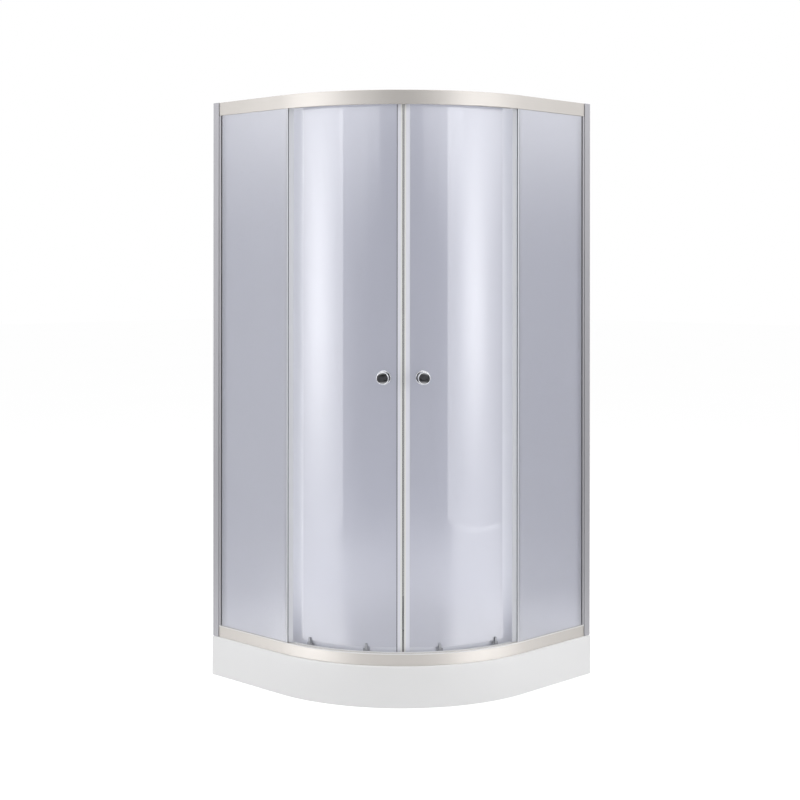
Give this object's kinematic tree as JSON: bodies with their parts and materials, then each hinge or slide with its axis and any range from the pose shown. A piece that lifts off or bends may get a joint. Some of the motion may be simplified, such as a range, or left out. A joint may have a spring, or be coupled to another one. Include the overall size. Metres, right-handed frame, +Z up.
{
  "type": "shower cabin",
  "caption": "Quadrant shower cabin for a room corner: low white tray, aluminium frame, frosted glass with fixed side panes and curved sliding doors with round knobs.",
  "frame": {"origin": "middle of the square plan, on the floor", "axes": "+Z up; the room walls are the planes at -X and +Y, and the rounded front faces +X and -Y"},
  "size_m": [0.9, 0.9, 1.92],
  "materials": {
    "acrylic": "glossy white sanitary acrylic",
    "board": "raw chipboard",
    "dark_plastic": "moulded matt",
    "grey_plastic": "moulded matt",
    "white_plastic": "extruded or moulded smooth",
    "clear_plastic": "clear extruded strip",
    "steel": "zinc plated",
    "chrome": "polished",
    "rubber": "matt",
    "aluminium": "satin anodised",
    "frosted_glass": "toughened, satin inside and glossy outside"
  },
  "bodies": {
    "cabin": {"tray": "acrylic", "support_board": "board", "foot_pads": "dark_plastic", "foot_studs": "steel", "foot_nuts": "steel", "waste_flange": "chrome", "waste_gasket": "rubber", "waste_trap": "white_plastic", "bottom_rail": "aluminium", "top_rail": "aluminium", "corner_blocks": "grey_plastic", "frame_screws": "steel", "door_stops": "rubber", "left_wall_channel": "aluminium", "left_glazing_profile": "aluminium", "left_glazing_gasket": "rubber", "left_fixed_glass": "frosted_glass", "left_fixed_seal": "clear_plastic", "right_wall_channel": "aluminium", "right_glazing_profile": "aluminium", "right_glazing_gasket": "rubber", "right_fixed_glass": "frosted_glass", "right_fixed_seal": "clear_plastic"},
    "waste_cover": {"waste_cover": "chrome"},
    "left_door": {"left_door_glass": "frosted_glass", "left_magnet_seal": "white_plastic", "left_magnet_strip": "rubber", "left_trailing_seal": "clear_plastic", "left_outer_knob": "chrome", "left_inner_knob": "chrome", "left_knob_stud": "steel", "left_upper_bushes": "grey_plastic", "left_upper_axles": "chrome", "left_lower_clips": "grey_plastic", "left_spring_lead": "steel", "left_spring_trail": "steel"},
    "left_upper_wheel_lead": {"left_upper_wheel_lead": "white_plastic"},
    "left_lower_wheel_lead": {"left_lower_wheel_lead": "white_plastic"},
    "left_release_lead": {"left_release_lead": "grey_plastic"},
    "left_upper_wheel_trail": {"left_upper_wheel_trail": "white_plastic"},
    "left_lower_wheel_trail": {"left_lower_wheel_trail": "white_plastic"},
    "left_release_trail": {"left_release_trail": "grey_plastic"},
    "right_door": {"right_door_glass": "frosted_glass", "right_magnet_seal": "white_plastic", "right_magnet_strip": "rubber", "right_trailing_seal": "clear_plastic", "right_outer_knob": "chrome", "right_inner_knob": "chrome", "right_knob_stud": "steel", "right_upper_bushes": "grey_plastic", "right_upper_axles": "chrome", "right_lower_clips": "grey_plastic", "right_spring_lead": "steel", "right_spring_trail": "steel"},
    "right_upper_wheel_lead": {"right_upper_wheel_lead": "white_plastic"},
    "right_lower_wheel_lead": {"right_lower_wheel_lead": "white_plastic"},
    "right_release_lead": {"right_release_lead": "grey_plastic"},
    "right_upper_wheel_trail": {"right_upper_wheel_trail": "white_plastic"},
    "right_lower_wheel_trail": {"right_lower_wheel_trail": "white_plastic"},
    "right_release_trail": {"right_release_trail": "grey_plastic"}
  },
  "joints": [
    {"name": "waste_cover_lift", "type": "slide", "parent": "cabin", "child": "waste_cover", "axis": [0, 0, 1], "range_m": [0, 0.06]},
    {"name": "left_door_travel", "type": "hinge", "parent": "cabin", "child": "left_door", "pos_m": [-0.14275, 0.23892, 1.03], "axis": [0, 0, -1], "range_deg": [0, 21]},
    {"name": "left_upper_wheel_lead_spin", "type": "hinge", "parent": "left_door", "child": "left_upper_wheel_lead", "pos_m": [0.17902, -0.34826, 1.8961], "axis": [0.5284, -0.849, 0], "continuous": true},
    {"name": "left_release_lead_press", "type": "slide", "parent": "left_door", "child": "left_release_lead", "axis": [0, 0, -1], "range_m": [0, 0.005], "stiffness_N_per_m": 1500, "springref_m": -0.002, "deforming": ["left_spring_lead"]},
    {"name": "left_lower_wheel_lead_spin", "type": "hinge", "parent": "left_release_lead", "child": "left_lower_wheel_lead", "pos_m": [0.17902, -0.34826, 0.1499], "axis": [0.5284, -0.849, 0], "continuous": true},
    {"name": "left_upper_wheel_trail_spin", "type": "hinge", "parent": "left_door", "child": "left_upper_wheel_trail", "pos_m": [-0.01286, -0.42076, 1.8961], "axis": [0.165, -0.9863, 0], "continuous": true},
    {"name": "left_release_trail_press", "type": "slide", "parent": "left_door", "child": "left_release_trail", "axis": [0, 0, -1], "range_m": [0, 0.005], "stiffness_N_per_m": 1500, "springref_m": -0.002, "deforming": ["left_spring_trail"]},
    {"name": "left_lower_wheel_trail_spin", "type": "hinge", "parent": "left_release_trail", "child": "left_lower_wheel_trail", "pos_m": [-0.01286, -0.42076, 0.1499], "axis": [0.165, -0.9863, 0], "continuous": true},
    {"name": "right_door_travel", "type": "hinge", "parent": "cabin", "child": "right_door", "pos_m": [-0.23892, 0.14275, 1.03], "axis": [0, 0, 1], "range_deg": [0, 21]},
    {"name": "right_upper_wheel_lead_spin", "type": "hinge", "parent": "right_door", "child": "right_upper_wheel_lead", "pos_m": [0.34826, -0.17902, 1.8961], "axis": [0.849, -0.5284, 0], "continuous": true},
    {"name": "right_release_lead_press", "type": "slide", "parent": "right_door", "child": "right_release_lead", "axis": [0, 0, -1], "range_m": [0, 0.005], "stiffness_N_per_m": 1500, "springref_m": -0.002, "deforming": ["right_spring_lead"]},
    {"name": "right_lower_wheel_lead_spin", "type": "hinge", "parent": "right_release_lead", "child": "right_lower_wheel_lead", "pos_m": [0.34826, -0.17902, 0.1499], "axis": [0.849, -0.5284, 0], "continuous": true},
    {"name": "right_upper_wheel_trail_spin", "type": "hinge", "parent": "right_door", "child": "right_upper_wheel_trail", "pos_m": [0.42076, 0.01286, 1.8961], "axis": [0.9863, -0.165, 0], "continuous": true},
    {"name": "right_release_trail_press", "type": "slide", "parent": "right_door", "child": "right_release_trail", "axis": [0, 0, -1], "range_m": [0, 0.005], "stiffness_N_per_m": 1500, "springref_m": -0.002, "deforming": ["right_spring_trail"]},
    {"name": "right_lower_wheel_trail_spin", "type": "hinge", "parent": "right_release_trail", "child": "right_lower_wheel_trail", "pos_m": [0.42076, 0.01286, 0.1499], "axis": [0.9863, -0.165, 0], "continuous": true}
  ],
  "couplings": [
    {"joint": "left_upper_wheel_lead_spin", "follows": "left_door_travel", "ratio": 66.853},
    {"joint": "left_lower_wheel_lead_spin", "follows": "left_door_travel", "ratio": -74.281},
    {"joint": "left_upper_wheel_trail_spin", "follows": "left_door_travel", "ratio": 67.207},
    {"joint": "left_lower_wheel_trail_spin", "follows": "left_door_travel", "ratio": -74.674},
    {"joint": "right_upper_wheel_lead_spin", "follows": "right_door_travel", "ratio": -66.853},
    {"joint": "right_lower_wheel_lead_spin", "follows": "right_door_travel", "ratio": 74.281},
    {"joint": "right_upper_wheel_trail_spin", "follows": "right_door_travel", "ratio": -67.207},
    {"joint": "right_lower_wheel_trail_spin", "follows": "right_door_travel", "ratio": 74.674}
  ]
}
